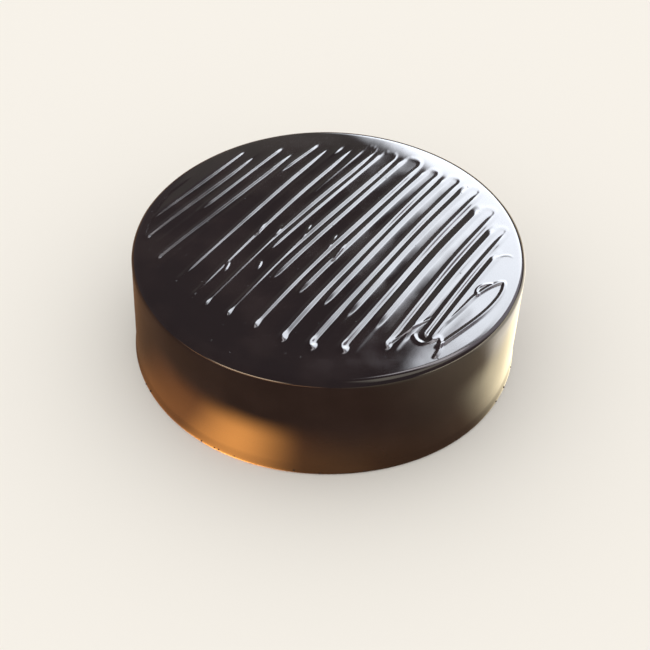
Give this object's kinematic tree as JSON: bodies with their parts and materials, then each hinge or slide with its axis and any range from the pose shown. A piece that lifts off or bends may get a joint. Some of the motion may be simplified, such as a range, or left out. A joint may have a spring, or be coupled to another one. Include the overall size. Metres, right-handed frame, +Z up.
{
  "type": "devils food cake",
  "caption": "Round chocolate layer cake, whole and uncut, under a glossy dark glaze with a piped zigzag ridge over its flat top.",
  "frame": {"origin": "middle of the flat underside, on the surface that the cake rests on", "axes": "+Z up through the cake's height, -Y towards the side that the picture shows, +X to its right"},
  "size_m": [0.2028, 0.2006, 0.0636],
  "materials": {
    "chocolate_glaze": "gloss"
  },
  "bodies": {
    "root": {"glazed_cake": "chocolate_glaze"}
  },
  "joints": []
}
